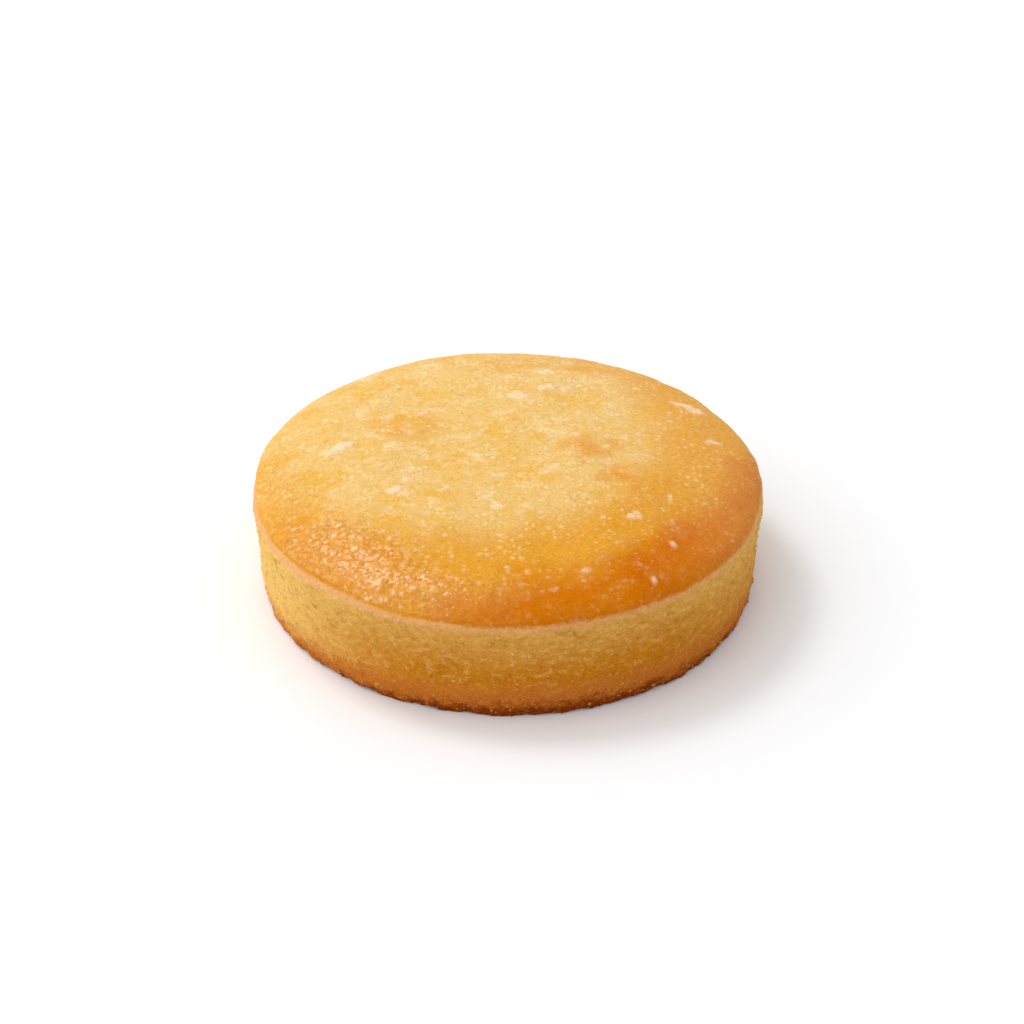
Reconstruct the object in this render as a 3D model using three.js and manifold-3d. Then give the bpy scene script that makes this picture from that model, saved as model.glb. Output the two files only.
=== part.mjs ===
// A round individual lemon cake: one uncut piece of sponge, baked in a shallow tin, with a drafted
// crumbly side, a soft lip, and a glazed crust that rises to a low crown and carries beads of glaze.
// Units are millimetres, +Z is up, and the cake stands on Z = 0 with its front towards -Y.

import * as THREE from "three";
import { mergeVertices } from "three/addons/utils/BufferGeometryUtils.js";
import Module from "manifold-3d";

// Driving dimensions
const rimDiameter = 100; // across the lip, the widest line of the cake
const baseDiameter = 97.4; // where the side meets the rounded edge of the base
const sideTopDiameter = 99; // top of the straight side, where the lip starts
const borderDiameter = 99.2; // the lower border of the crust
const baseRound = 0.9; // radius of the edge round the base
const widestHeight = 19.2; // base to the widest line of the lip
const lipDrop = 4.5; // the lip swells out over this height below its widest line
const borderRise = 1.2; // widest line of the lip to the border of the crust
const creaseDepth = 0.35; // the lip tucks in this far under the border of the crust
const borderBead = 0.05; // the crust turns under this far inside its border
const crownRise = 7.4; // border of the crust to the top of the crown
const crownPower = 2.8; // above 2 the crown is flatter in the middle and rounder at its shoulder

// Unevenness of the bake: waves round the cake as [waves in a turn, size, degrees of its crest]
const baseWaves = [[1, 0.4, -75], [2, 0.26, -125], [3, 0.19, 160]];
const borderWaves = [[1, 0.32, 108], [2, 0.36, -58], [7, 0.12, 20], [11, 0.1, 75]];
const tiltWaves = [[1, 0.3, -90]];

// Low swells over the crown as [wavelength, size, degrees of the way they run]
const crownSwells = [[37, 0.16, 25], [23, 0.12, 100], [16, 0.09, 160], [11, 0.06, 65]];
const swellFade = 8; // the higher it is, the closer to the border the swells reach

// Relief of the crumb: how far it is torn in at most, and how far the base edge is crumbled
const crumbDepth = 0.22;
const tearDepth = 0.65;
const tearLeast = 0.6; // share of that depth in the shallowest tear
const tearShare = 0.07; // share of the points in the upper side that are tears
const tearLowest = 9; // tears lie above this height
const cragDepth = 0.4;
const crumbSeed = 20;

// Beads of glaze that dried on the crust: place, length, width and the way they lie in degrees
const beadHeight = 0.45; // height above the crust
const beads = [
  { x: -33, y: 3, length: 6.5, width: 2.6, turn: 40 },
  { x: -22, y: -13.5, length: 2.6, width: 2, turn: 20 },
  { x: -19.5, y: -10, length: 2.4, width: 1.8, turn: 30 },
  { x: -2, y: -19.5, length: 2.4, width: 2, turn: 0 },
  { x: 2, y: 22, length: 3.6, width: 2.8, turn: 20 },
  { x: 7.5, y: 25.5, length: 3.2, width: 2.6, turn: 10 },
  { x: 11.5, y: 26, length: 2.4, width: 2.2, turn: 0 },
  { x: 8, y: 33, length: 3, width: 2.4, turn: 0 },
  { x: 36.5, y: 21.5, length: 6, width: 2.8, turn: -25 },
  { x: 40.5, y: 7.5, length: 2.6, width: 2.2, turn: 0 },
  { x: 24, y: -21.5, length: 3, width: 2.2, turn: 30 },
  { x: 27, y: -38.5, length: 2.2, width: 1.6, turn: -70 },
  { x: 14.5, y: -38, length: 2.6, width: 1.6, turn: 10 },
  { x: 8.5, y: -42.5, length: 1.8, width: 1.5, turn: -60 },
  { x: 31, y: -28.5, length: 2, width: 1.6, turn: -50 },
];

// Fineness of the surface
const aroundSteps = 120;
const baseRings = 2;
const edgeSteps = 3;
const sideSteps = 9;
const lipSteps = 4;
const crownSteps = 14;

const rimRadius = rimDiameter / 2;
const baseRadius = baseDiameter / 2;
const sideTopRadius = sideTopDiameter / 2;
const borderRadius = borderDiameter / 2;
const sideTopHeight = widestHeight - lipDrop;
const borderHeight = widestHeight + borderRise;

function radians(degrees) {
  return THREE.MathUtils.degToRad(degrees);
}

function seededDraw(seed) {
  THREE.MathUtils.seededRandom(seed);
  return () => THREE.MathUtils.seededRandom();
}

function wavesRound(angle, waves) {
  let sum = 0;
  for (const [count, size, crest] of waves) {
    sum += size * Math.cos(count * angle - radians(crest));
  }
  return sum;
}

function swellAt(x, y) {
  let sum = 0;
  for (const [wavelength, size, way] of crownSwells) {
    const along = x * Math.cos(radians(way)) + y * Math.sin(radians(way));
    sum += size * Math.sin((2 * Math.PI * along) / wavelength);
  }
  return sum;
}

function crownPoint(radius) {
  const rise = crownRise * Math.sqrt(1 - (radius / borderRadius) ** crownPower);
  return new THREE.Vector2(radius, borderHeight + rise);
}

// Half the section of the cake, from the middle of the base up the side and over the crown
function section() {
  const points = [];
  const flatRadius = baseRadius - baseRound;
  for (let i = 0; i < baseRings; i++) {
    points.push(new THREE.Vector2((flatRadius * i) / baseRings, 0));
  }
  for (let i = 0; i <= edgeSteps; i++) {
    const turn = ((i / edgeSteps) * Math.PI) / 2;
    const height = baseRound * (1 - Math.cos(turn));
    points.push(new THREE.Vector2(flatRadius + baseRound * Math.sin(turn), height));
  }
  for (let i = 1; i <= sideSteps; i++) {
    const share = i / sideSteps;
    const height = THREE.MathUtils.lerp(baseRound, sideTopHeight, share);
    points.push(new THREE.Vector2(THREE.MathUtils.lerp(baseRadius, sideTopRadius, share), height));
  }
  for (let i = 1; i <= lipSteps; i++) {
    const share = i / lipSteps;
    const swell = Math.sin((share * Math.PI) / 2);
    const height = THREE.MathUtils.lerp(sideTopHeight, widestHeight, share);
    points.push(new THREE.Vector2(THREE.MathUtils.lerp(sideTopRadius, rimRadius, swell), height));
  }
  points.push(new THREE.Vector2(borderRadius - creaseDepth, borderHeight));
  points.push(crownPoint(borderRadius - borderBead));
  for (let i = 1; i < crownSteps; i++) {
    points.push(crownPoint(borderRadius * Math.cos((i / crownSteps) * (Math.PI / 2))));
  }
  points.push(crownPoint(0));
  return points;
}

// How far a point of the section is torn or crumbled inwards
function crumbleAt(point, draw) {
  const roll = draw();
  const depth = draw();
  const onEdge = point.y > 0 && point.y <= baseRound;
  const onSide = point.y > baseRound && point.y < widestHeight;
  if (onEdge) {
    return cragDepth * depth;
  }
  if (!onSide) {
    return 0;
  }
  const torn = roll < tearShare && point.y > tearLowest;
  return torn ? tearDepth * THREE.MathUtils.lerp(tearLeast, 1, depth) : crumbDepth * depth * depth;
}

// The turned cake with its waves, swells and crumb, as one closed surface
function cakeBody() {
  const points = section();
  const turned = new THREE.LatheGeometry(points, aroundSteps);
  turned.rotateX(Math.PI / 2);
  const draw = seededDraw(crumbSeed);
  const crumble = points.map((point) => Array.from({ length: aroundSteps }, () => crumbleAt(point, draw)));
  const place = turned.getAttribute("position");
  for (let i = 0; i < place.count; i++) {
    const station = i % points.length;
    const step = Math.floor(i / points.length) % aroundSteps;
    const { x: radius, y: height } = points[station];
    const angle = Math.atan2(place.getY(i), place.getX(i));
    const upSide = Math.min(height / widestHeight, 1);
    const outwards = height < widestHeight
      ? (1 - upSide) * wavesRound(angle, baseWaves)
      : wavesRound(angle, borderWaves) * Math.min((height - widestHeight) / borderRise, 1);
    const reach = radius / rimRadius;
    const newRadius = radius + reach * (outwards - crumble[station][step]);
    const x = newRadius * Math.cos(angle);
    const y = newRadius * Math.sin(angle);
    const swell = height > borderHeight ? (1 - reach ** swellFade) * swellAt(x, y) : 0;
    const z = height + upSide * reach * wavesRound(angle, tiltWaves) + swell;
    place.setXYZ(i, x, y, z);
  }
  return closed(turned);
}

// The same surface with its shared points merged and its collapsed triangles dropped
function closed(geometry) {
  const bare = geometry.clone();
  bare.deleteAttribute("normal");
  bare.deleteAttribute("uv");
  const merged = mergeVertices(bare, 1e-4);
  const corners = merged.getIndex().array;
  const kept = [];
  for (let i = 0; i < corners.length; i += 3) {
    const [a, b, c] = [corners[i], corners[i + 1], corners[i + 2]];
    const collapsed = a === b || b === c || c === a;
    if (!collapsed) {
      kept.push(a, b, c);
    }
  }
  merged.setIndex(kept);
  return merged;
}

// A flattened bead that is half sunk in the crust, lying along the surface under it
function glazeBead({ x, y, length, width, turn }, crust) {
  const drop = new THREE.Raycaster(new THREE.Vector3(x, y, 2 * rimRadius), new THREE.Vector3(0, 0, -1));
  const [landing] = drop.intersectObject(crust);
  const lean = new THREE.Quaternion().setFromUnitVectors(new THREE.Vector3(0, 0, 1), landing.face.normal);
  const spin = new THREE.Quaternion().setFromAxisAngle(new THREE.Vector3(0, 0, 1), radians(turn));
  const size = new THREE.Vector3(length / 2, width / 2, beadHeight);
  const bead = new THREE.IcosahedronGeometry(1, 1);
  bead.applyMatrix4(new THREE.Matrix4().compose(landing.point, lean.multiply(spin), size));
  return closed(bead);
}

const wasm = await Module();
wasm.setup();

function solidOf(geometry) {
  const vertProperties = new Float32Array(geometry.getAttribute("position").array);
  const triVerts = new Uint32Array(geometry.getIndex().array);
  return new wasm.Manifold(new wasm.Mesh({ numProp: 3, vertProperties, triVerts }));
}

function geometryOf(solid) {
  const mesh = solid.getMesh();
  const geometry = new THREE.BufferGeometry();
  geometry.setAttribute("position", new THREE.BufferAttribute(new Float32Array(mesh.vertProperties), 3));
  geometry.setIndex(new THREE.BufferAttribute(new Uint32Array(mesh.triVerts), 1));
  return geometry;
}

// The cake with its beads fused on, set over the middle of its own box
function cakeGeometry() {
  const body = cakeBody();
  const crust = new THREE.Mesh(body);
  let whole = solidOf(body);
  for (const bead of beads) {
    whole = whole.add(solidOf(glazeBead(bead, crust)));
  }
  const geometry = geometryOf(whole);
  geometry.computeBoundingBox();
  const middle = geometry.boundingBox.getCenter(new THREE.Vector3());
  geometry.translate(-middle.x, -middle.y, -geometry.boundingBox.min.z);
  geometry.computeVertexNormals();
  return geometry;
}

// Baked sponge: honey yellow, matt in the crumb and softly glossy where the glaze dried
const bakedSponge = new THREE.MeshStandardMaterial({ color: 0xe0a044, roughness: 0.55, metalness: 0 });

const lemonCake = new THREE.Group();
const cake = new THREE.Mesh(cakeGeometry(), bakedSponge);
cake.name = "cake";
lemonCake.add(cake);

export default lemonCake;
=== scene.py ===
import math
import random

import bpy
import numpy as np
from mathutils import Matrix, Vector, noise


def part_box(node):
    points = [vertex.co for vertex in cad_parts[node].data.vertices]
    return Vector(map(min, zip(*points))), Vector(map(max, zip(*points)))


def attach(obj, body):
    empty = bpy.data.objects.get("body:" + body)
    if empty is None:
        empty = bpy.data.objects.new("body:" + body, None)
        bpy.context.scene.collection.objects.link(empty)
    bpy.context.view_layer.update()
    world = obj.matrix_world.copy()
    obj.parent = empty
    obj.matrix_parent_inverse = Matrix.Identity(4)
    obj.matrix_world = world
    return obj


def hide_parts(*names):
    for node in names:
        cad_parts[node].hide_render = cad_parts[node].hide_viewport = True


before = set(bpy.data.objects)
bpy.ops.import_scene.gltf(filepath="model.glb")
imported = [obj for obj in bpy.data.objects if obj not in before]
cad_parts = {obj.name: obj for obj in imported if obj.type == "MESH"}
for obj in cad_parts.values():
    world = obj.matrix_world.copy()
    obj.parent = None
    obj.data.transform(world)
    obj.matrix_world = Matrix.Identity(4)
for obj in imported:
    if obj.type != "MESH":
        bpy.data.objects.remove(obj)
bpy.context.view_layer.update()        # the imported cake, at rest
mm = 0.001
print("frame loaded")


# Small tools

def linear(hexColour):
    # sRGB hex to the linear values that shaders take
    parts = [int(hexColour[i:i + 2], 16) / 255 for i in (1, 3, 5)]
    return [p / 12.92 if p <= 0.04045 else ((p + 0.055) / 1.055) ** 2.4 for p in parts] + [1.0]


def perMm(size):
    return 1 / (size * mm)      # texture scale for features of this many millimetres


def addNode(tree, kind, links=None, **settings):
    # one node with its settings, and its inputs linked to sockets or set to values
    node = tree.nodes.new(kind)
    for name, value in settings.items():
        setattr(node, name, value)
    for socket, value in (links or {}).items():
        if isinstance(value, bpy.types.NodeSocket):
            tree.links.new(value, node.inputs[socket])
        else:
            node.inputs[socket].default_value = value
    return node


def newMaterial(name):
    material = bpy.data.materials.new(name)
    material.use_nodes = True
    material.node_tree.nodes.clear()
    return material, material.node_tree


def ease(low, high, x):
    # 0 below low, 1 above high, smooth between
    t = np.clip((x - low) / (high - low), 0, 1)
    return t * t * (3 - 2 * t)


def wavesRound(angle, waves):
    return sum(size * np.cos(count * angle - math.radians(crest)) for count, size, crest in waves)


def deselectAll():
    bpy.ops.object.select_all(action="DESELECT")


def readPoints(mesh, what="co"):
    values = np.empty(len(mesh.vertices) * 3)
    mesh.vertices.foreach_get(what, values)
    return values.reshape(-1, 3)


def writePoints(mesh, points):
    mesh.vertices.foreach_set("co", (points * mm).ravel())
    mesh.update()


def setMark(mesh, name, values):
    # one number for each point, which the materials read
    mark = mesh.attributes.new(name, "FLOAT", "POINT")
    mark.data.foreach_set("value", values.astype(np.float32))


# The cake's form, in millimetres, the same as the solid's

lowCorner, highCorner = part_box("cake")
rimRadius = (highCorner.x - lowCorner.x) / 2 / mm

cakeForm = {
    "baseRadius": 0.974 * rimRadius,
    "sideTopRadius": 0.99 * rimRadius,
    "borderRadius": 0.992 * rimRadius,
    "baseTuck": 0.8,          # the base edge is rounded over this height
    "widestHeight": 19.2,
    "lipDrop": 4.5,
    "lipRows": (0.55, 1),     # as shares of the drop
    "borderRise": 1.2,
    "crownRise": 7.4,
    "crownPower": 2.8,
    # waves round the cake: how many, size, degrees of a crest
    "baseWaves": [(1, 0.4, -75), (2, 0.26, -125), (3, 0.19, 160)],
    "borderWaves": [(1, 0.32, 108), (2, 0.36, -58), (7, 0.12, 20), (11, 0.1, 75)],
    "tiltWaves": [(1, 0.3, -90)],
    # low swells over the crown, fading at the rim: length, size, degrees of their way
    "crownSwells": [(37, 0.16, 25), (23, 0.12, 100), (16, 0.09, 160), (11, 0.06, 65)],
    "swellFade": 8,
    "around": 88,             # points round the cage
    "sideRows": 5,
    "shoulderRows": 4,
    "shoulderRadius": 39.0,   # inside this the crown is a grid
    "levels": 3,              # how often the cage is subdivided
}
borderHeight = cakeForm["widestHeight"] + cakeForm["borderRise"]


def crownHeight(radius):
    share = np.clip(radius / cakeForm["borderRadius"], 0, 1)
    return borderHeight + cakeForm["crownRise"] * np.sqrt(1 - share ** cakeForm["crownPower"])


def cakeStations():
    # radius and height up the side, round the lip and over the shoulder
    form = cakeForm
    sideTop = form["widestHeight"] - form["lipDrop"]
    stations = []
    for i in range(form["sideRows"] + 1):
        share = i / form["sideRows"]
        radius = form["baseRadius"] + share * (form["sideTopRadius"] - form["baseRadius"])
        stations.append((radius, share * sideTop))
    for share in form["lipRows"]:
        swell = math.sin(share * math.pi / 2)
        radius = form["sideTopRadius"] + swell * (rimRadius - form["sideTopRadius"])
        stations.append((radius, sideTop + share * form["lipDrop"]))
    stations.append((form["borderRadius"], borderHeight))
    for i in range(1, form["shoulderRows"] + 1):
        turn = i / form["shoulderRows"] * math.acos(form["shoulderRadius"] / form["borderRadius"])
        radius = form["borderRadius"] * math.cos(turn)
        stations.append((radius, float(crownHeight(radius))))
    return stations


def makeUneven(points):
    # the waves of the bake, on points in millimetres
    form = cakeForm
    angle = np.arctan2(points[:, 1], points[:, 0])
    radius = np.hypot(points[:, 0], points[:, 1])
    height = points[:, 2].copy()
    upSide = np.clip(height / form["widestHeight"], 0, 1)
    overLip = np.clip((height - form["widestHeight"]) / form["borderRise"], 0, 1)
    outwards = (1 - upSide) * wavesRound(angle, form["baseWaves"])
    outwards += overLip * wavesRound(angle, form["borderWaves"])
    reach = radius / rimRadius
    radius = radius + reach * outwards
    points[:, 0] = radius * np.cos(angle)
    points[:, 1] = radius * np.sin(angle)
    points[:, 2] += upSide * reach * wavesRound(angle, form["tiltWaves"])
    onCrown = (height > borderHeight) * (1 - reach ** form["swellFade"])
    for wavelength, size, way in form["crownSwells"]:
        along = points[:, 0] * math.cos(math.radians(way)) + points[:, 1] * math.sin(math.radians(way))
        points[:, 2] += onCrown * size * np.sin(2 * math.pi * along / wavelength)
    return points


def modelCakeBody():
    # a ring, extruded up the side and over the shoulder, closed by a grid and subdivided
    stations = cakeStations()
    deselectAll()
    bpy.ops.mesh.primitive_circle_add(vertices=cakeForm["around"], radius=stations[0][0] * mm)
    body = bpy.context.object
    body.name = "cakeBody"
    bpy.ops.object.mode_set(mode="EDIT")
    bpy.ops.mesh.select_all(action="SELECT")
    for (radius, height), (nextRadius, nextHeight) in zip(stations, stations[1:]):
        rise = (nextHeight - height) * mm
        bpy.ops.mesh.extrude_edges_move(TRANSFORM_OT_translate={"value": (0, 0, rise)})
        grow = nextRadius / radius
        bpy.ops.transform.resize(value=(grow, grow, 1), center_override=(0, 0, nextHeight * mm))
    bpy.ops.mesh.fill_grid(span=cakeForm["around"] // 4)
    bpy.ops.object.mode_set(mode="OBJECT")

    # the grid is flat, so its points are lifted to the crown
    points = readPoints(body.data) / mm
    radius = np.hypot(points[:, 0], points[:, 1])
    inside = radius < cakeForm["shoulderRadius"] - 0.1
    points[inside, 2] = crownHeight(radius[inside])

    # extruding leaves faces in no fixed order, so the cage is laid again in one, for the bits strewn later
    faces = sorted(tuple(face.vertices) for face in body.data.polygons)
    body.data.clear_geometry()
    body.data.from_pydata((makeUneven(points) * mm).tolist(), [], faces)

    smoothing = body.modifiers.new("smoothing", "SUBSURF")
    smoothing.levels = smoothing.render_levels = cakeForm["levels"]
    bpy.ops.object.modifier_apply(modifier="smoothing")

    # the open bottom is closed by a fan of faces
    bpy.ops.object.mode_set(mode="EDIT")
    bpy.ops.mesh.select_mode(type="EDGE")
    bpy.ops.mesh.select_all(action="DESELECT")
    bpy.ops.mesh.select_non_manifold()
    bpy.ops.mesh.edge_face_add()
    bpy.ops.mesh.poke()
    bpy.ops.mesh.select_all(action="SELECT")
    bpy.ops.mesh.normals_make_consistent(inside=False)
    bpy.ops.object.mode_set(mode="OBJECT")
    bpy.ops.object.shade_smooth()
    return body


# Relief and bake marks, in millimetres

crustMarks = {
    # uneven relief: size, height, start of its noise
    "lumps": (5.5, 0.16, 3.1), "knobs": (2.6, 0.1, 6.2),
    "crests": (0.9, 0.16, 7.7), "wrinkles": (1.7, 0.14, 1.9),
    "creaseDepth": 0.18, "creaseWidth": 0.4,
    "beadHeight": 0.12, "beadWidth": 0.4, "beadAbove": 0.6,
    "borderWander": (14, 0.4, 0.0), "borderBlend": 0.5,
    # dried glaze: x, y, length, width, degrees of turn
    "glazeSpots": [
        (-33, 3, 8, 3.6, 40), (-22, -13.5, 3.6, 2.8, 20), (-19.5, -10, 3.2, 2.4, 30),
        (-2, -19.5, 3.2, 2.6, 0), (2, 22, 5, 4, 20), (7.5, 25.5, 4.2, 3.4, 10),
        (11.5, 26, 3.2, 2.8, 0), (8, 33, 4, 3.2, 0), (36.5, 21.5, 8, 3.8, -25),
        (40.5, 7.5, 3.2, 2.6, 0), (24, -21.5, 3.8, 2.8, 30), (27, -38.5, 2.2, 1.6, -70),
        (14.5, -38, 2.6, 1.6, 10), (8.5, -42.5, 1.8, 1.5, -60), (31, -28.5, 2, 1.6, -50),
    ],
    "glazeHeight": 0.22, "glazeBreaks": (1.3, 1.1, 4.6), "glazeReach": 0.8,
    # patches where the skin is rough: x, y, length, width, degrees of turn, strength
    "roughSpots": [
        (-28, -37, 62, 30, -42, 1.0), (-9, -44, 38, 18, -12, 0.7), (-43, -10, 50, 26, -76, 0.38),
        (14, -41, 30, 16, 12, 0.35), (40, -8, 46, 20, 78, 0.45), (0, 42, 80, 20, 0, 0.35),
    ],
    "roughLeast": 0.2, "roughBreaks": (6, 0.5, 2.4), "roughEdge": (-0.1, 0.9), "skinOver": (0.0, 0.8),
    # patches that browned more: x, y, length, width, degrees of turn, strength
    "brownSpots": [
        (16.5, 2, 15, 9, 5, 0.85), (21.5, -7, 12, 9, 0, 0.95), (27, -11, 13, 8, 25, 0.6),
        (-19, 9.5, 18, 11, 0, 0.5), (0.5, 35.5, 17, 10, 0, 0.35), (4, -39.5, 18, 9, 5, 0.9),
        (27, -31.5, 20, 10, 35, 0.9), (44, -2, 16, 8, 90, 0.7), (15, 35, 15, 9, -15, 0.3),
        (-26, -36, 60, 18, -37, 1.0),
    ],
    "brownBreaks": (3.6, 1.0, 8.3),
}

crumbMarks = {
    "seed": 11,
    # torn slits that show at the front: degrees round, height, half length
    "seenTears": [
        (-87.5, 18.2, 1.2), (-83, 18.2, 1.0), (-80.6, 16.7, 0.9), (-78.5, 16.5, 0.8), (-71, 16.3, 1.4),
        (-66, 15.9, 0.8), (-60, 17.4, 1.1), (-61, 13.9, 0.8), (-137.5, 18.5, 0.9), (-128, 17, 1.1),
        (-122, 16.7, 1.2), (-119, 17.4, 0.9), (-114, 15.4, 0.8), (-101, 17, 1.1), (-101, 14.3, 0.8),
    ],
    "moreTears": 110, "tearLowest": 3.0, "tearUsual": 16.5, "tearHighest": 18.6,
    "tearHalfLength": (0.5, 1.7), "tearHalfHeight": (0.28, 0.5), "tearDepth": (0.14, 0.36),
    "tearSlope": 0.35, "pits": 280, "pitLowest": 1.0, "pitHalfSize": (0.25, 0.5),
    "pitStretch": (1, 1.6), "pitDepth": (0.05, 0.15),
    # uneven relief: size, height, start of its noise, and how much flatter than wide it is
    "lumps": (4.5, 0.2, 1.3), "lumpFlat": 1.6, "grains": (1.2, 0.16, 5.9), "grainFlat": 1.5,
    "tearEdges": (1.2, 0.7, 6.6), "tearReach": 1.5, "tearRagged": 0.5,
    # crumbled base edge: size, depth, start of its noise, share that is cut away
    "crags": [(2.8, 0.6, 9.2, 0.35), (1.1, 0.25, 3.8, 0.2)], "cragFrom": 0.4, "cragTop": 3.6,
    "tuckShare": 0.006,      # how far the base edge draws in
    "baseBlend": 0.2, "offFloor": 0.02,
}


def spotWeight(points, x, y, length, width, turn):
    # 1 in the middle of an oval spot, below 0 outside it
    across = points[:, :2] - np.array([x, y])
    c, s = math.cos(math.radians(turn)), math.sin(math.radians(turn))
    along = (across[:, 0] * c + across[:, 1] * s) / (length / 2)
    aside = (across[:, 1] * c - across[:, 0] * s) / (width / 2)
    return 1 - along ** 2 - aside ** 2


def noiseAt(points, size, start, flat=1.0):
    scale = np.array((1, 1, flat)) / size
    offset = Vector((start, start, start))
    return np.array([noise.noise(Vector(p) + offset) for p in points * scale])


def unevenness(points, kind, flat=1.0):
    size, height, start = kind
    return height * noiseAt(points, size, start, flat)


def borderAt(points):
    # height of the crust's lower border all round
    angle = np.arctan2(points[:, 1], points[:, 0])
    ring = np.column_stack([np.cos(angle), np.sin(angle), np.zeros(len(angle))]) * rimRadius
    wander = unevenness(ring, crustMarks["borderWander"])
    return borderHeight + wavesRound(angle, cakeForm["tiltWaves"]) + wander


def tearShapes():
    # angle, height, half length, half height, depth and slope of each torn slit and pit
    crumb = crumbMarks
    slope = crumb["tearSlope"]
    draw = random.Random(crumb["seed"])
    shapes = []
    for degrees, height, halfLength in crumb["seenTears"]:
        shapes.append((math.radians(degrees), height, halfLength, draw.uniform(*crumb["tearHalfHeight"]),
                       draw.uniform(*crumb["tearDepth"]), draw.uniform(-slope, slope)))
    for i in range(crumb["moreTears"]):
        height = draw.triangular(crumb["tearLowest"], crumb["tearHighest"], crumb["tearUsual"])
        shapes.append((draw.uniform(-math.pi, math.pi), height, draw.uniform(*crumb["tearHalfLength"]),
                       draw.uniform(*crumb["tearHalfHeight"]), draw.uniform(*crumb["tearDepth"]),
                       draw.uniform(-slope, slope)))
    for i in range(crumb["pits"]):
        size = draw.uniform(*crumb["pitHalfSize"])
        shapes.append((draw.uniform(-math.pi, math.pi),
                       draw.uniform(crumb["pitLowest"], crumb["tearHighest"]),
                       size * draw.uniform(*crumb["pitStretch"]), size,
                       draw.uniform(*crumb["pitDepth"]), 0.0))
    return shapes


def crustRelief(points, above, onCrust):
    # low lumps, a wrinkled skin, a crease under its border, a bead along it, and dried glaze
    crust = crustMarks
    move = onCrust * (unevenness(points, crust["lumps"]) + unevenness(points, crust["knobs"]))

    rough = np.full(len(points), crust["roughLeast"])
    breaks = unevenness(points, crust["roughBreaks"])
    for *spot, strength in crust["roughSpots"]:
        inside = spotWeight(points, *spot) + breaks
        rough = np.maximum(rough, strength * ease(*crust["roughEdge"], inside))
    skin = rough * ease(*crust["skinOver"], above)
    size, height, start = crust["wrinkles"]
    folds = height * (0.5 - 2 * np.abs(noiseAt(points, size, start)))     # sharp crests between round dips
    move += onCrust * skin * (unevenness(points, crust["crests"]) + folds)

    move -= crust["creaseDepth"] * np.exp(-(above / crust["creaseWidth"]) ** 2)
    move += crust["beadHeight"] * np.exp(-((above - crust["beadAbove"]) / crust["beadWidth"]) ** 2)

    glaze = np.zeros(len(points))
    breaks = unevenness(points, crust["glazeBreaks"])
    for spot in crust["glazeSpots"]:
        inside = spotWeight(points, *spot)
        weight = np.clip(inside + breaks, 0, 1) * (above > 0)
        glaze = np.maximum(glaze, np.where(inside > -crust["glazeReach"], weight, 0))
    move += crust["glazeHeight"] * glaze

    brown = np.zeros(len(points))
    breaks = unevenness(points, crust["brownBreaks"])
    for *spot, strength in crust["brownSpots"]:
        inside = spotWeight(points, *spot)
        brown = np.maximum(brown, strength * np.clip(inside + breaks * ease(-1, 0, inside), 0, 1))
    return move, skin, glaze, brown


def crumbRelief(points, onSide):
    # lumps, grain, torn slits that run level, and a crumbled base edge
    crumb = crumbMarks
    angle = np.arctan2(points[:, 1], points[:, 0])
    height = points[:, 2]
    move = onSide * unevenness(points, crumb["lumps"], crumb["lumpFlat"])
    move += onSide * unevenness(points, crumb["grains"], crumb["grainFlat"])

    pit = np.zeros(len(points))
    ragged = unevenness(points, crumb["tearEdges"])
    for tearAngle, tearHeight, halfLength, halfHeight, depth, slope in tearShapes():
        along = (angle - tearAngle + math.pi) % (2 * math.pi) - math.pi
        near = np.abs(along) * rimRadius < crumb["tearReach"] * halfLength
        along = along[near] * rimRadius
        aside = height[near] - tearHeight - slope * along
        inside = 1 - (along / halfLength) ** 2 - (aside / halfHeight) ** 2
        weight = np.clip(inside + ragged[near] * (inside > -crumb["tearRagged"]), 0, 1)
        pit[near] = np.maximum(pit[near], depth * weight)
    pit *= onSide
    move -= pit

    nearBase = 1 - ease(crumb["cragFrom"], crumb["cragTop"], height)
    for size, depth, start, share in crumb["crags"]:
        move -= nearBase * depth * np.clip(share + noiseAt(points, size, start), 0, 1)
    return move, pit


def addRelief(body):
    # moves the points along their normals, and marks them for the materials
    mesh = body.data
    points = readPoints(mesh) / mm
    normals = readPoints(mesh, "normal")
    height = points[:, 2]
    above = height - borderAt(points)
    blend = crustMarks["borderBlend"]
    onCrust = ease(-blend, blend, above)
    onSide = (1 - onCrust) * ease(0.0, crumbMarks["baseBlend"], height)
    crustMove, skin, glaze, brown = crustRelief(points, above, onCrust)
    crumbMove, pit = crumbRelief(points, onSide)

    # the base edge draws in, the fan's middle stays, and what comes down to the floor is flat on it
    tuck = 1 - ease(0.0, cakeForm["baseTuck"], height)
    middle = (height < 1) & (np.hypot(points[:, 0], points[:, 1]) < 1)
    points = points + normals * ((crustMove + crumbMove) * ~middle)[:, None]
    points[:, :2] *= (1 - crumbMarks["tuckShare"] * tuck * ~middle)[:, None]
    offFloor = points[:, 2] > 0.001
    points[:, 2] = np.where(offFloor, np.maximum(points[:, 2], crumbMarks["offFloor"]), 0)
    writePoints(mesh, points)
    setMark(mesh, "aboveBorder", above)
    setMark(mesh, "pit", pit / crumbMarks["tearDepth"][1])
    setMark(mesh, "skin", skin)
    setMark(mesh, "glaze", glaze)
    setMark(mesh, "brown", brown)


# Baked lemon sponge: a satin sugar-glazed crust, matt open crumb on the side, browned base edge

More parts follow.
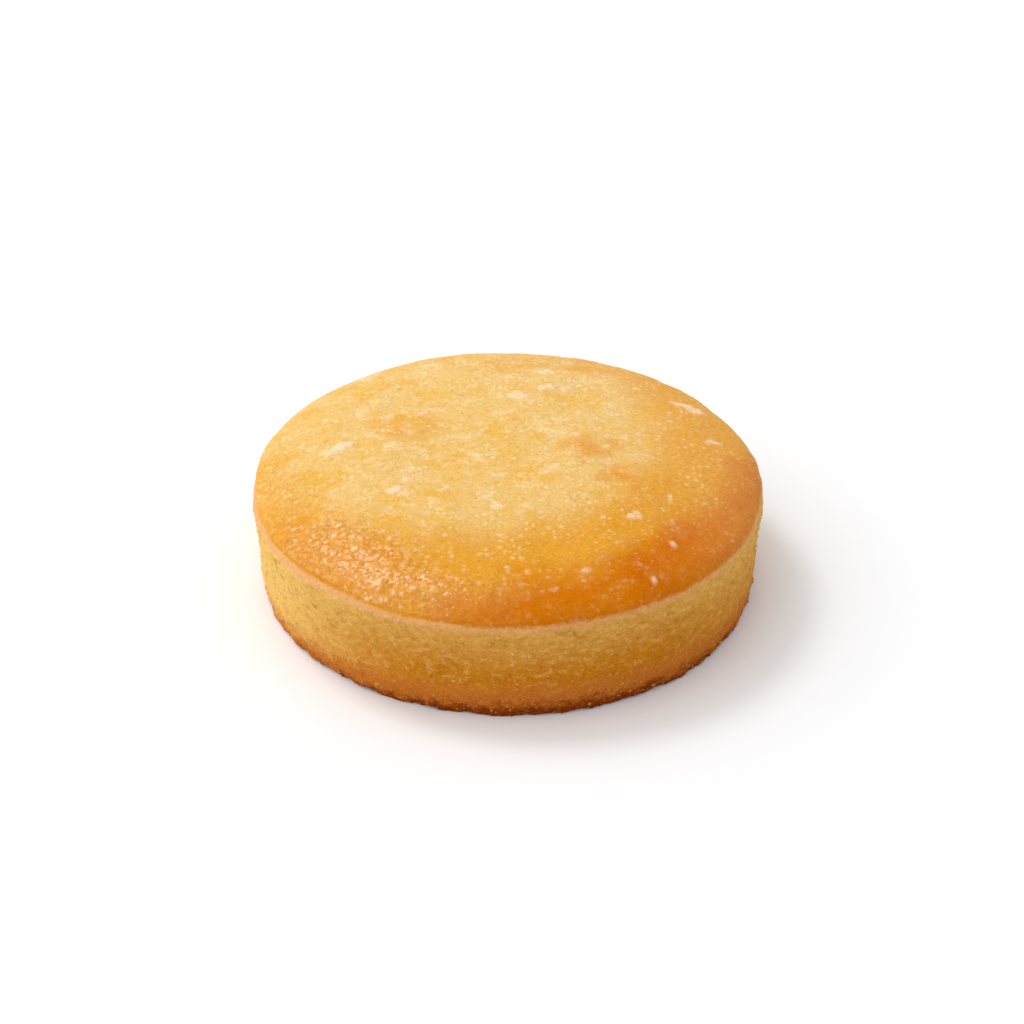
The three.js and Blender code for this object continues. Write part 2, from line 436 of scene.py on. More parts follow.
spongeLook = {
    # crust
    "honey": "#e6be74", "patch": "#e6b250", "pale": "#f0d4a4", "gold": "#df9c30", "amber": "#d07200",
    "brownPatch": "#dc8a06", "ember": "#c86000", "hazeAndSheen": "#dc9c58", "fleck": "#f6dcac", "glaze": "#f4d8b4",
    "valleyShade": "#cc8204", "glazeTopAndHighlight": "#f2cc78", "lip": "#e0a674",
    # crumb
    "crumb": "#eebe68", "crumbTop": "#eec26c", "crumbFront": "#c4780c", "crumbGrain": "#f2cc80",
    "crumbGapShade": "#b07410", "crumbPit": "#b0780e", "crumbTan": "#c27028", "baseBrown": "#843606",

    # the ways in which the crust and base edge browned most and the crumb is deepest, and the way painted
    # palest, as painted light
    "crumbLean": (0.5, -0.87, 0), "crustLean": (0.67, -0.74, 0), "baseLean": (0.26, -0.97, 0),
    "paintedLightWay": (0.8, 0.6, 0),

    # noise patterns: size in millimetres, detail
    "crustPatterns": {"ringWander": (9, 4), "patch": (8, 5), "pale": (4.5, 5), "pore": (1.7, 4),
                      "fleck": (0.7, 2), "cluster": (6, 3)},
    "crumbPatterns": {"mottle": (1.7, 4), "speck": (0.6, 2), "streak": (4.2, 3), "browning": (2.4, 5)},
    "patternRoughness": 0.65, "crumbFlat": 1.5,

    # masks: where a colour begins, where it is full, and how strong it is there
    "crustMasks": {"patch": (0.46, 0.66, 0.9), "pale": (0.5, 0.7, 0.8), "pore": (0.5, 0.8, 0.7),
                   "cluster": (0.34, 0.58, 1.0), "ember": (0.5, 0.62, 0.65)},
    # on the skin's folds: paler tops are cream glaze with a painted highlight, deeper dips are painted shade
    "foldMasks": {"glazeTopAndHighlight": (0.52, 0.66, 0.2), "valleyShade": (0.53, 0.38, 0.85)},
    # the crumb's gap colour is painted shade, laid in the mottling's low spots and the torn streaks
    "crumbMasks": {"pale": (0.48, 0.72, 0.32), "mottleShade": (0.5, 0.28, 0.32), "grain": (0.6, 0.72, 0.35),
                   "streak": (0.44, 0.3, 0.5)},
    # the same in millimetres: from the middle on the crust, up the side or towards the front on the crumb
    "crustRings": {"gold": (26, 45, 1.0), "amber": (48, 61, 1.0)},
    "crumbBands": {"top": (8, 19, 0.4), "front": (-6, 36, 1.0), "tan": (6.2, 0.2, 1.0),
                   "base": (0.6, -2.8, 1.0)},

    # crust: rings wander and lean, amber keeps to one side and thins in pale patches
    "lean": 0.4, "ringWander": 10, "amberSide": (18, 34), "thinPatches": (0.45, 0.65), "thinAmber": 0.7,
    # the crown is painted paler towards one way, a painted sheen, and the haze is a pale glaze film with a
    # painted sheen
    "paintedSheenTo": 30, "paintedSheenMost": 0.1, "hazeAndSheenMost": 0.4, "brownMost": 0.72, "onAmber": 0.2,
    "glazeMost": 0.85, "glazeOnAmber": 0.6,
    "fleckSpacing": 1.3, "fleckRadius": 0.54, "fleckSoft": (2.8, 0.2), "fleckMost": 0.58,
    # crumb: browning wanders at the base and reaches higher at the front, whose deeper colour fades
    # sideways, the paler sides painted light
    "browningWander": 7, "speckBrowning": 5, "baseSide": (-10, 50), "baseShift": (3, -2.8),
    "frontTo": 40, "frontLeast": 0.5, "pitMost": 0.45,
    # border between them: a frayed edge over a lip that is narrower and fainter at the front
    "fraySize": 1.2, "frayHeight": 1.2, "crustEdge": (0.2, 0.8), "lipEdge": (-1.7, -0.4),
    "lipNarrows": 0.01, "lipSide": (-10, 45), "lipMost": 0.9, "lipLeast": 0.45,

    # fine relief and painted fine light and shade, in millimetres, with the pores as coarse as they need to
    # be to show
    "foldSize": 0.8, "foldDepth": 0.1, "bubblePitch": 0.9, "bubbleSpan": (0.18, 0.7), "bubbleRise": 0.25,
    "porePitch": 0.5, "poreDepth": 0.055, "mottleDepth": 0.4, "speckDepth": 0.2,
    "finePitch": 0.5, "fineFrom": (0.3, 0.7), "fineShade": (0.88, 1.1),
    "glossSkin": (0.35, 1.0), "gloss": (0.02, 0.38), "crumbRoughness": 0.9, "crustRoughness": 0.6,
}


def skinBumps(tree, place):
    # the rough skin: folds, and bubbles of many sizes
    look = spongeLook
    folds = addNode(tree, "ShaderNodeTexNoise",
                    {"Vector": place, "Scale": perMm(look["foldSize"]), "Detail": 3.0,
                     "Roughness": 0.6}).outputs["Fac"]
    cells = addNode(tree, "ShaderNodeTexVoronoi", {"Vector": place, "Scale": perMm(look["bubblePitch"])})
    chance = addNode(tree, "ShaderNodeSeparateColor", {0: cells.outputs["Color"]}).outputs[0]
    least, most = look["bubbleSpan"]
    span = addNode(tree, "ShaderNodeMapRange", {"Value": chance, "To Min": least, "To Max": most}).outputs[0]
    share = addNode(tree, "ShaderNodeMath", {0: cells.outputs["Distance"], 1: span},
                    operation="DIVIDE").outputs[0]
    dome = addNode(tree, "ShaderNodeMapRange", {"Value": share, "From Min": 1.0, "From Max": 0.0},
                   interpolation_type="SMOOTHSTEP").outputs[0]
    bubbles = addNode(tree, "ShaderNodeMath", {0: dome, 1: span}, operation="MULTIPLY").outputs[0]
    return folds, bubbles


def paleFlecks(tree, place, uneven):
    # rounded spots of many sizes with soft, uneven edges
    look = spongeLook
    cells = addNode(tree, "ShaderNodeTexVoronoi", {"Vector": place, "Scale": perMm(look["fleckSpacing"])})
    chance = addNode(tree, "ShaderNodeSeparateColor", {0: cells.outputs["Color"]}).outputs[0]
    span = addNode(tree, "ShaderNodeMath", {0: chance, 1: look["fleckRadius"]},
                   operation="MULTIPLY").outputs[0]
    span = addNode(tree, "ShaderNodeMath", {0: span, 1: uneven}, operation="MULTIPLY").outputs[0]
    share = addNode(tree, "ShaderNodeMath", {0: cells.outputs["Distance"], 1: span},
                    operation="DIVIDE").outputs[0]
    outer, inner = look["fleckSoft"]
    return addNode(tree, "ShaderNodeMapRange",
                   {"Value": share, "From Min": outer, "From Max": inner, "To Max": look["fleckMost"]},
                   interpolation_type="SMOOTHSTEP").outputs[0]


def crustLayers(tree, place, folds=None):
    # masks of the crust's colours, from the ground up
    look = spongeLook
    grounds = {}
    for name, (size, detail) in look["crustPatterns"].items():
        grounds[name] = addNode(tree, "ShaderNodeTexNoise",
                                {"Vector": place, "Scale": perMm(size), "Detail": detail,
                                 "Roughness": look["patternRoughness"]}).outputs["Fac"]
    sources = {"patch": grounds["patch"], "pale": grounds["pale"], "pore": grounds["pore"],
               "cluster": grounds["cluster"], "ember": grounds["ringWander"]}
    masks = {}
    for name, (low, high, most) in look["crustMasks"].items():
        masks[name] = addNode(tree, "ShaderNodeMapRange",
                              {"Value": sources[name], "From Min": low, "From Max": high, "To Max": most},
                              interpolation_type="SMOOTHSTEP").outputs[0]

    # browning in rings, which begin further in on the side that they lean to
    flat = addNode(tree, "ShaderNodeVectorMath", {0: place, 1: (1, 1, 0)}, operation="MULTIPLY").outputs[0]
    towards = addNode(tree, "ShaderNodeVectorMath", {0: flat, 1: look["crustLean"]},
                      operation="DOT_PRODUCT").outputs["Value"]
    reach = addNode(tree, "ShaderNodeVectorMath", {0: flat}, operation="LENGTH").outputs["Value"]
    wander = look["ringWander"] * mm
    shift = addNode(tree, "ShaderNodeMath", {0: grounds["ringWander"], 1: wander, 2: -wander / 2},
                    operation="MULTIPLY_ADD").outputs[0]
    lean = addNode(tree, "ShaderNodeMath", {0: towards, 1: look["lean"], 2: shift},
                   operation="MULTIPLY_ADD").outputs[0]
    edge = addNode(tree, "ShaderNodeMath", {0: reach, 1: lean}, operation="ADD").outputs[0]
    for name, (low, high, most) in look["crustRings"].items():
        masks[name] = addNode(tree, "ShaderNodeMapRange",
                              {"Value": edge, "From Min": low * mm, "From Max": high * mm, "To Max": most},
                              interpolation_type="SMOOTHSTEP").outputs[0]

    # amber keeps to its side and thins in the pale patches
    low, high = look["amberSide"]
    leaning = addNode(tree, "ShaderNodeMapRange",
                      {"Value": towards, "From Min": low * mm, "From Max": high * mm},
                      interpolation_type="SMOOTHSTEP").outputs[0]
    low, high = look["thinPatches"]
    thin = addNode(tree, "ShaderNodeMapRange",
                   {"Value": grounds["pale"], "From Min": low, "From Max": high, "To Min": 1.0,
                    "To Max": look["thinAmber"]}).outputs[0]
    for share in (leaning, thin):
        masks["amber"] = addNode(tree, "ShaderNodeMath", {0: masks["amber"], 1: share},
                                 operation="MULTIPLY").outputs[0]
    fade = addNode(tree, "ShaderNodeMapRange",
                   {"Value": masks["amber"], "To Min": 1.0, "To Max": look["onAmber"]}).outputs[0]
    ember = addNode(tree, "ShaderNodeMath", {0: masks["ember"], 1: masks["amber"]},
                    operation="MULTIPLY").outputs[0]

    # a painted sheen on the side painted palest, haze where it is gold, a pale glaze film with a painted
    # sheen, and flecks, which fade on amber
    sideways = addNode(tree, "ShaderNodeVectorMath", {0: flat, 1: look["paintedLightWay"]},
                       operation="DOT_PRODUCT").outputs["Value"]
    paintedSheen = addNode(tree, "ShaderNodeMapRange",
                    {"Value": sideways, "From Max": look["paintedSheenTo"] * mm, "To Max": look["paintedSheenMost"]},
                    interpolation_type="SMOOTHSTEP").outputs[0]
    # haze: a pale glaze film with a painted sheen over it
    hazeAndSheen = masks["pale"]
    for share in (masks["gold"], look["hazeAndSheenMost"], fade):
        hazeAndSheen = addNode(tree, "ShaderNodeMath", {0: hazeAndSheen, 1: share}, operation="MULTIPLY").outputs[0]
    fleck = paleFlecks(tree, place, grounds["fleck"])
    for share in (masks["cluster"], fade):
        fleck = addNode(tree, "ShaderNodeMath", {0: fleck, 1: share}, operation="MULTIPLY").outputs[0]

    # what the mesh marks: patches that browned more, and dried glaze
    brown = addNode(tree, "ShaderNodeAttribute", attribute_name="brown").outputs["Fac"]
    brown = addNode(tree, "ShaderNodeMath", {0: brown, 1: look["brownMost"]},
                    operation="MULTIPLY").outputs[0]
    glaze = addNode(tree, "ShaderNodeAttribute", attribute_name="glaze").outputs["Fac"]
    cream = addNode(tree, "ShaderNodeMapRange",
                    {"Value": masks["amber"], "To Min": look["glazeMost"],
                     "To Max": look["glazeOnAmber"]}).outputs[0]
    cream = addNode(tree, "ShaderNodeMath", {0: glaze, 1: cream}, operation="MULTIPLY").outputs[0]
    layers = [(masks["patch"], "patch"), (masks["pale"], "pale"), (masks["pore"], "gold"),
              (masks["gold"], "gold"), (brown, "brownPatch"), (masks["amber"], "amber"), (ember, "ember"),
              (hazeAndSheen, "hazeAndSheen"), (paintedSheen, "pale"), (fleck, "fleck"), (cream, "glaze")]
    # the rough skin's folds: paler tops, cream glaze with a painted highlight, and deeper dips, a painted
    # shade
    if folds is not None:
        skin = addNode(tree, "ShaderNodeAttribute", attribute_name="skin").outputs["Fac"]
        skinned = addNode(tree, "ShaderNodeMath", {0: skin, 1: fade}, operation="MULTIPLY").outputs[0]
        for name, (low, high, most) in look["foldMasks"].items():
            mask = addNode(tree, "ShaderNodeMapRange",
                           {"Value": folds, "From Min": low, "From Max": high, "To Max": most}).outputs[0]
            mask = addNode(tree, "ShaderNodeMath", {0: mask, 1: skinned}, operation="MULTIPLY").outputs[0]
            layers.append((mask, name))
    return layers


def crumbGrounds(tree, place):
    # the patterns of the crumb, drawn out level: mottling, fine specks, torn streaks and browning
    look = spongeLook
    level = addNode(tree, "ShaderNodeVectorMath", {0: place, 1: (1, 1, look["crumbFlat"])},
                    operation="MULTIPLY").outputs[0]
    grounds = {}
    for name, (size, detail) in look["crumbPatterns"].items():
        grounds[name] = addNode(tree, "ShaderNodeTexNoise",
                                {"Vector": level, "Scale": perMm(size), "Detail": detail,
                                 "Roughness": look["patternRoughness"]}).outputs["Fac"]
    return grounds


def crumbLayers(tree, place, grounds):
    # masks of the crumb's colours, from the ground up
    look = spongeLook
    height = addNode(tree, "ShaderNodeSeparateXYZ", {0: place}).outputs["Z"]
    ways = {}
    for name in ("crumbLean", "baseLean", "paintedLightWay"):
        ways[name] = addNode(tree, "ShaderNodeVectorMath", {0: place, 1: look[name]},
                             operation="DOT_PRODUCT").outputs["Value"]

    # height as the browning of the base sees it: uneven, speckled and lower at the front
    lifted = addNode(tree, "ShaderNodeMath",
                     {0: grounds["browning"], 1: -look["browningWander"] * mm, 2: height},
                     operation="MULTIPLY_ADD").outputs[0]
    (low, high), (least, most) = look["baseSide"], look["baseShift"]
    forward = addNode(tree, "ShaderNodeMapRange",
                      {"Value": ways["baseLean"], "From Min": low * mm, "From Max": high * mm,
                       "To Min": least * mm, "To Max": most * mm}).outputs[0]
    lifted = addNode(tree, "ShaderNodeMath", {0: lifted, 1: forward}, operation="ADD").outputs[0]
    lifted = addNode(tree, "ShaderNodeMath", {0: grounds["speck"], 1: look["speckBrowning"] * mm, 2: lifted},
                     operation="MULTIPLY_ADD").outputs[0]

    masks = {}
    sources = {"top": height, "front": ways["crumbLean"], "tan": lifted, "base": lifted}
    for name, (low, high, most) in look["crumbBands"].items():
        masks[name] = addNode(tree, "ShaderNodeMapRange",
                              {"Value": sources[name], "From Min": low * mm, "From Max": high * mm,
                               "To Max": most},
                              interpolation_type="SMOOTHSTEP").outputs[0]
    sources = {"pale": grounds["mottle"], "mottleShade": grounds["mottle"], "grain": grounds["speck"],
               "streak": grounds["streak"]}
    for name, (low, high, most) in look["crumbMasks"].items():
        masks[name] = addNode(tree, "ShaderNodeMapRange",
                              {"Value": sources[name], "From Min": low, "From Max": high, "To Max": most},
                              interpolation_type="SMOOTHSTEP").outputs[0]
    # the front's colour fades towards one way, so the sides are painted paler, as painted light
    lessFront = addNode(tree, "ShaderNodeMapRange",
                        {"Value": ways["paintedLightWay"], "From Max": look["frontTo"] * mm, "To Min": 1.0,
                         "To Max": look["frontLeast"]}).outputs[0]
    front = addNode(tree, "ShaderNodeMath", {0: masks["front"], 1: lessFront},
                    operation="MULTIPLY").outputs[0]
    pit = addNode(tree, "ShaderNodeAttribute", attribute_name="pit").outputs["Fac"]
    pit = addNode(tree, "ShaderNodeMath", {0: pit, 1: look["pitMost"]}, operation="MULTIPLY").outputs[0]
    # the gap colour is painted shade, on the torn streaks and the mottling's low spots
    return [(front, "crumbFront"), (masks["top"], "crumbTop"), (masks["streak"], "crumbGapShade"),
            (masks["pale"], "crumbGrain"), (masks["mottleShade"], "crumbGapShade"), (pit, "crumbPit"),
            (masks["tan"], "crumbTan"), (masks["base"], "baseBrown"), (masks["grain"], "crumbGrain")]


def layUp(tree, ground, layers):
    # each layer's colour over those below it
    colour = linear(spongeLook[ground])
    for mask, name in layers:
        colour = addNode(tree, "ShaderNodeMix", {0: mask, 6: colour, 7: linear(spongeLook[name])},
                         data_type="RGBA").outputs[2]
    return colour


def crustBorder(tree, place):
    # how far a place is crust, and how far it is crust or lip
    look = spongeLook
    above = addNode(tree, "ShaderNodeAttribute", attribute_name="aboveBorder").outputs["Fac"]
    fray = addNode(tree, "ShaderNodeTexNoise",
                   {"Vector": place, "Scale": perMm(look["fraySize"]), "Detail": 3.0}).outputs["Fac"]
    frayed = addNode(tree, "ShaderNodeMath", {0: fray, 1: look["frayHeight"], 2: above},
                     operation="MULTIPLY_ADD").outputs[0]
    low, high = look["crustEdge"]
    isCrust = addNode(tree, "ShaderNodeMapRange",
                      {"Value": frayed, "From Min": low, "From Max": high}).outputs[0]
    towards = addNode(tree, "ShaderNodeVectorMath", {0: place, 1: look["crumbLean"]},
                      operation="DOT_PRODUCT").outputs["Value"]
    lip = addNode(tree, "ShaderNodeMath", {0: towards, 1: -look["lipNarrows"] / mm, 2: frayed},
                  operation="MULTIPLY_ADD").outputs[0]
    low, high = look["lipSide"]
    lipShare = addNode(tree, "ShaderNodeMapRange",
                       {"Value": towards, "From Min": low * mm, "From Max": high * mm,
                        "To Min": look["lipMost"], "To Max": look["lipLeast"]}).outputs[0]
    low, high = look["lipEdge"]
    isLip = addNode(tree, "ShaderNodeMapRange",
                    {"Value": lip, "From Min": low, "From Max": high, "To Max": lipShare}).outputs[0]
    return isCrust, isLip


def bakedSponge():
    look = spongeLook
    material, tree = newMaterial("bakedLemonSponge")
    place = addNode(tree, "ShaderNodeTexCoord").outputs["Object"]
    isCrust, isLip = crustBorder(tree, place)
    grounds = crumbGrounds(tree, place)
    folds, bubbles = skinBumps(tree, place)
    crust = layUp(tree, "honey", crustLayers(tree, place, folds))
    crumb = layUp(tree, "crumb", crumbLayers(tree, place, grounds) + [(isLip, "lip")])
    colour = addNode(tree, "ShaderNodeMix", {0: isCrust, 6: crumb, 7: crust}, data_type="RGBA").outputs[2]
    # painted fine light and shade: the colour is made a little darker and lighter in small spots, as the
    # pores' shade
    fine = addNode(tree, "ShaderNodeTexNoise",
                   {"Vector": place, "Scale": perMm(look["finePitch"]), "Detail": 2.0}).outputs["Fac"]
    (low, high), (least, most) = look["fineFrom"], look["fineShade"]
    fine = addNode(tree, "ShaderNodeMapRange",
                   {"Value": fine, "From Min": low, "From Max": high, "To Min": least,
                    "To Max": most}).outputs[0]
    colour = addNode(tree, "ShaderNodeMix", {0: 1.0, 6: colour, 7: fine}, data_type="RGBA",
                     blend_type="MULTIPLY").outputs[2]

    # fine relief: the skin's folds, bubbles and pores, the crumb's mottling and specks
    skin = addNode(tree, "ShaderNodeAttribute", attribute_name="skin").outputs["Fac"]
    film = addNode(tree, "ShaderNodeMath", {0: folds, 1: look["foldDepth"] * mm},
                   operation="MULTIPLY").outputs[0]
    film = addNode(tree, "ShaderNodeMath", {0: bubbles, 1: look["bubbleRise"] * mm, 2: film},
                   operation="MULTIPLY_ADD").outputs[0]
    film = addNode(tree, "ShaderNodeMath", {0: film, 1: skin}, operation="MULTIPLY").outputs[0]
    pores = addNode(tree, "ShaderNodeTexNoise",
                    {"Vector": place, "Scale": perMm(look["porePitch"]), "Detail": 1.0,
                     "Roughness": 0.6}).outputs["Fac"]
    pores = addNode(tree, "ShaderNodeMath", {0: pores, 1: look["poreDepth"] * mm, 2: film},
                    operation="MULTIPLY_ADD").outputs[0]
    grain = addNode(tree, "ShaderNodeMath", {0: grounds["mottle"], 1: look["mottleDepth"] * mm},
                    operation="MULTIPLY").outputs[0]
    grain = addNode(tree, "ShaderNodeMath", {0: grounds["speck"], 1: look["speckDepth"] * mm, 2: grain},
                    operation="MULTIPLY_ADD").outputs[0]
    relief = addNode(tree, "ShaderNodeMix", {0: isLip, 2: grain, 3: pores}, data_type="FLOAT").outputs[0]
    bump = addNode(tree, "ShaderNodeBump", {"Height": relief, "Distance": 1.0, "Strength": 1.0}).outputs[0]
    filmBump = addNode(tree, "ShaderNodeBump", {"Height": film, "Distance": 1.0, "Strength": 1.0}).outputs[0]

    # the sugar film shines where the skin is rough
    (low, high), (least, most) = look["glossSkin"], look["gloss"]
    gloss = addNode(tree, "ShaderNodeMapRange",
                    {"Value": skin, "From Min": low, "From Max": high, "To Min": least,
                     "To Max": most}).outputs[0]
    gloss = addNode(tree, "ShaderNodeMath", {0: gloss, 1: isCrust}, operation="MULTIPLY").outputs[0]
    roughness = addNode(tree, "ShaderNodeMapRange",
                        {"Value": isCrust, "To Min": look["crumbRoughness"],
                         "To Max": look["crustRoughness"]}).outputs[0]
    shader = addNode(tree, "ShaderNodeBsdfPrincipled",
                     {"Base Color": colour, "Roughness": roughness, "Normal": bump, "IOR": 1.45,
                      "Specular IOR Level": 0.02, "Coat Weight": gloss, "Coat Roughness": 0.08,
                      "Coat IOR": 1.8, "Coat Normal": filmBump, "Subsurface Weight": 0.15,
                      "Subsurface Radius": (1.0, 0.5, 0.2), "Subsurface Scale": 0.8 * mm})
    addNode(tree, "ShaderNodeOutputMaterial", {"Surface": shader.outputs[0]})
    return material


cakeBody = modelCakeBody()
print("cake body modelled,", len(cakeBody.data.polygons), "faces")
addRelief(cakeBody)
cakeBody.data.materials.append(bakedSponge())
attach(cakeBody, "root")
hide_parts("cake")
print("relief and sponge material done")


# Bits on the surface, in millimetres: beads of dried glaze on the crust, loose crumbs on the side

beadBits = {
    "seed": 5, "count": 330, "radius": (0.14, 0.42), "fewLarge": 3.0, "stretch": (0.8, 1.4),
    "flatness": 0.42, "lumpy": 0.08, "sunk": 0.15, "creamMost": 0.3,
    # most lie on the shoulder and on rough skin
    "lowest": 0.3, "shoulder": (24, 43), "anywhere": 0.1, "onShoulder": 0.3,
    # a row of them along the crust's edge: height over the border, half width, oval spot, share
    "edgeAbove": 0.5, "edgeWidth": 0.25, "edgeSpot": (-21, -44, 40, 24, -26), "edgeShare": 4.0,
}
looseBits = {
    "seed": 8, "count": 1900, "radius": (0.16, 0.46), "fewLarge": 1.6, "stretch": (0.7, 1.3),
    "flatness": 0.8, "lumpy": 0.3, "sunk": 0.15, "specks": (0.35, 0.7),
    # more of them lie near the base
    "lowest": 0.3, "belowBorder": 1.5, "nearBase": (0.5, 4.0), "anywhere": 0.4,
}


def strewBits(name, bits, ball, body, chances):
    # many copies of a small ball, squashed, made uneven and joined in one mesh on the body
    draw = np.random.default_rng(bits["seed"])
    corners = readPoints(ball.data)
    faces = [list(face.vertices) for face in ball.data.polygons]
    count = bits["count"]
    picks = draw.choice(len(chances), count, replace=False, p=chances / chances.sum())
    ups = readPoints(body.data, "normal")[picks]
    alongs = np.cross(ups, draw.normal(size=(count, 3)))
    alongs /= np.linalg.norm(alongs, axis=1)[:, None]
    asides = np.cross(ups, alongs)
    least, most = bits["radius"]
    radii = least + (most - least) * draw.random(count) ** bits["fewLarge"]
    spots = readPoints(body.data)[picks] / mm - ups * (bits["sunk"] * radii)[:, None]
    longs = draw.uniform(*bits["stretch"], count)
    points = []
    allFaces = []
    for i in range(count):
        uneven = radii[i] * (1 + bits["lumpy"] * draw.uniform(-1, 1, len(corners)))[:, None]
        shape = corners * uneven * [longs[i], 1 / longs[i], bits["flatness"]]
        points.append(spots[i] + shape @ np.array([alongs[i], asides[i], ups[i]]))
        allFaces += [[corner + i * len(corners) for corner in face] for face in faces]
    mesh = bpy.data.meshes.new(name)
    mesh.from_pydata((np.concatenate(points) * mm).tolist(), [], allFaces)
    setMark(mesh, "tone", np.repeat(draw.random(count), len(corners)))
    piece = bpy.data.objects.new(name, mesh)
    bpy.context.scene.collection.objects.link(piece)
    bpy.data.objects.remove(ball)
    deselectAll()
    bpy.context.view_layer.objects.active = piece
    piece.select_set(True)
    bpy.ops.object.shade_smooth()
    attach(piece, "root")
    return piece


def driedGlaze():
    # sugar dried on the crust: lets the crust's colour through, creamier in some beads, a soft shine
    material, tree = newMaterial("driedGlaze")
    place = addNode(tree, "ShaderNodeTexCoord").outputs["Object"]
    tone = addNode(tree, "ShaderNodeAttribute", attribute_name="tone").outputs["Fac"]
    cream = addNode(tree, "ShaderNodeMapRange", {"Value": tone, "To Max": beadBits["creamMost"]}).outputs[0]
    colour = layUp(tree, "honey", crustLayers(tree, place) + [(cream, "pale")])
    shader = addNode(tree, "ShaderNodeBsdfPrincipled",
                     {"Base Color": colour, "Roughness": 0.5, "IOR": 1.45, "Specular IOR Level": 0.1,
                      "Coat Weight": 0.1, "Coat Roughness": 0.3})
    addNode(tree, "ShaderNodeOutputMaterial", {"Surface": shader.outputs[0]})
    return material


def looseCrumb():
    # torn sponge: matt, the colour of the crumb it lies on, each bit paler or darker
    material, tree = newMaterial("looseCrumb")
    place = addNode(tree, "ShaderNodeTexCoord").outputs["Object"]
    tone = addNode(tree, "ShaderNodeAttribute", attribute_name="tone").outputs["Fac"]
    grounds = crumbGrounds(tree, place)
    least, most = looseBits["specks"]
    grounds["speck"] = addNode(tree, "ShaderNodeMapRange",
                               {"Value": tone, "To Min": least, "To Max": most}).outputs[0]
    colour = layUp(tree, "crumb", crumbLayers(tree, place, grounds))
    shader = addNode(tree, "ShaderNodeBsdfPrincipled",
                     {"Base Color": colour, "Roughness": 0.9, "IOR": 1.45, "Specular IOR Level": 0.05})
    addNode(tree, "ShaderNodeOutputMaterial", {"Surface": shader.outputs[0]})
    return material


bodyPoints = readPoints(cakeBody.data) / mm
overBase = bodyPoints[:, 2]
overBorder = overBase - borderAt(bodyPoints)
bodySkin = np.empty(len(bodyPoints), dtype=np.float32)
cakeBody.data.attributes["skin"].data.foreach_get("value", bodySkin)

deselectAll()
bpy.ops.mesh.primitive_uv_sphere_add(segments=8, ring_count=5, radius=1)
onShoulder = ease(*beadBits["shoulder"], np.hypot(bodyPoints[:, 0], bodyPoints[:, 1]))
onEdge = np.exp(-((overBorder - beadBits["edgeAbove"]) / beadBits["edgeWidth"]) ** 2)
onEdge *= np.clip(spotWeight(bodyPoints, *beadBits["edgeSpot"]), 0, 1)
beadChances = beadBits["anywhere"] + onShoulder * (beadBits["onShoulder"] + bodySkin)
beadChances = (overBorder > beadBits["lowest"]) * beadChances + beadBits["edgeShare"] * onEdge
glazeBeads = strewBits("glazeBeads", beadBits, bpy.context.object, cakeBody, beadChances)
glazeBeads.data.materials.append(driedGlaze())

deselectAll()
bpy.ops.mesh.primitive_ico_sphere_add(subdivisions=1, radius=1)
onCrumb = (overBorder < -looseBits["belowBorder"]) * (overBase > looseBits["lowest"])
crumbChances = onCrumb * (looseBits["anywhere"] + (1 - ease(*looseBits["nearBase"], overBase)))
looseCrumbs = strewBits("looseCrumbs", looseBits, bpy.context.object, cakeBody, crumbChances)
looseCrumbs.data.materials.append(looseCrumb())
print("glaze beads and loose crumbs strewn")


# Studio: pale floor, soft light from the back left, camera at the photograph's angle

studio = {
    "floorColour": "#f5f6f8", "floorSize": 4.0,
    "skyEven": 0.68, "skyLobe": 0.85, "lobePower": 2.0, "brightWay": (-0.8, 0.0, 0.6),
    # azimuth, elevation, distance in metres, size, watts
    "key": (140, 58, 1.0, 0.3, 2.4),
    "cameraElevation": 32.97, "cameraDistance": 0.6, "lens": 106.86, "sensor": 36,
    "target": (0.78, 0.0, 13.68),
}


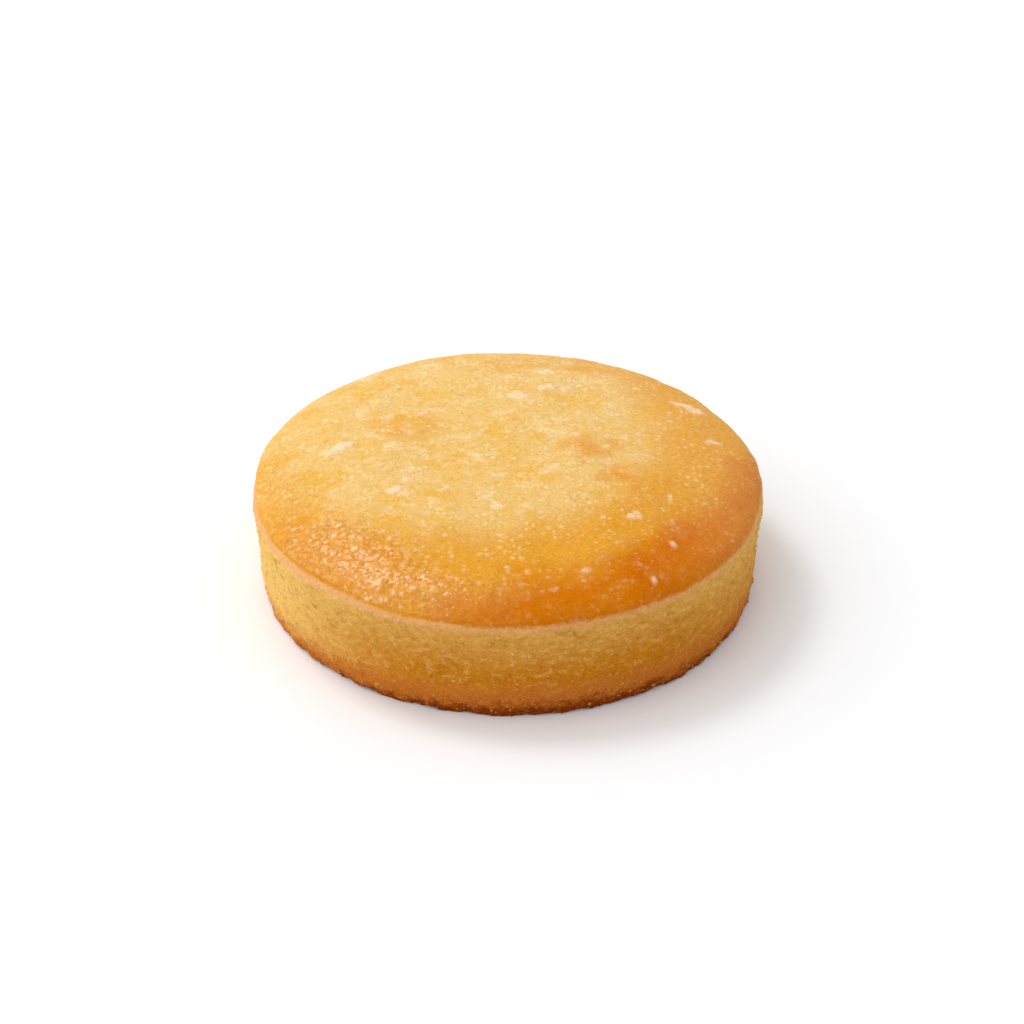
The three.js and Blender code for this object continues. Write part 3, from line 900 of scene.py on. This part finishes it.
def addSoftbox(name, azimuth, elevation, distance, size, watts):
    lamp = bpy.data.lights.new(name, "AREA")
    lamp.shape = "DISK"
    lamp.size = size
    lamp.energy = watts
    box = bpy.data.objects.new(name, lamp)
    bpy.context.scene.collection.objects.link(box)
    a, e = math.radians(azimuth), math.radians(elevation)
    way = Vector((math.cos(a) * math.cos(e), math.sin(a) * math.cos(e), math.sin(e)))
    box.location = way * distance
    box.rotation_euler = way.to_track_quat("Z", "Y").to_euler()


def addCamera():
    camera = bpy.data.objects.new("camera", bpy.data.cameras.new("camera"))
    bpy.context.scene.collection.objects.link(camera)
    camera.data.lens = studio["lens"]
    camera.data.sensor_width = studio["sensor"]
    e = math.radians(studio["cameraElevation"])
    back = Vector((0, -math.cos(e), math.sin(e)))
    camera.location = Vector(studio["target"]) * mm + back * studio["cameraDistance"]
    camera.rotation_euler = back.to_track_quat("Z", "Y").to_euler()
    bpy.context.scene.camera = camera


def addFloor():
    # matt painted board
    deselectAll()
    bpy.ops.mesh.primitive_plane_add(size=studio["floorSize"])
    floor = bpy.context.object
    floor.name = "floor"
    material, tree = newMaterial("paintedBoard")
    shader = addNode(tree, "ShaderNodeBsdfPrincipled",
                     {"Base Color": linear(studio["floorColour"]), "Roughness": 0.7})
    addNode(tree, "ShaderNodeOutputMaterial", {"Surface": shader.outputs[0]})
    floor.data.materials.append(material)


def addWorld():
    # an even white room, brighter at the upper left
    world = bpy.data.worlds.new("softRoom")
    world.use_nodes = True
    tree = world.node_tree
    tree.nodes.clear()
    way = addNode(tree, "ShaderNodeTexCoord").outputs["Generated"]
    towards = addNode(tree, "ShaderNodeVectorMath", {0: way, 1: studio["brightWay"]},
                      operation="DOT_PRODUCT").outputs["Value"]
    facing = addNode(tree, "ShaderNodeMath", {0: towards, 1: 0.0}, operation="MAXIMUM").outputs[0]
    lobe = addNode(tree, "ShaderNodeMath", {0: facing, 1: studio["lobePower"]}, operation="POWER").outputs[0]
    strength = addNode(tree, "ShaderNodeMath", {0: lobe, 1: studio["skyLobe"], 2: studio["skyEven"]},
                       operation="MULTIPLY_ADD").outputs[0]
    sky = addNode(tree, "ShaderNodeBackground", {"Color": (1, 1, 1, 1), "Strength": strength})
    addNode(tree, "ShaderNodeOutputWorld", {"Surface": sky.outputs[0]})
    bpy.context.scene.world = world


addFloor()
addWorld()
addSoftbox("keySoftbox", *studio["key"])
addCamera()
bpy.context.scene.view_settings.view_transform = "Standard"
print("studio done")
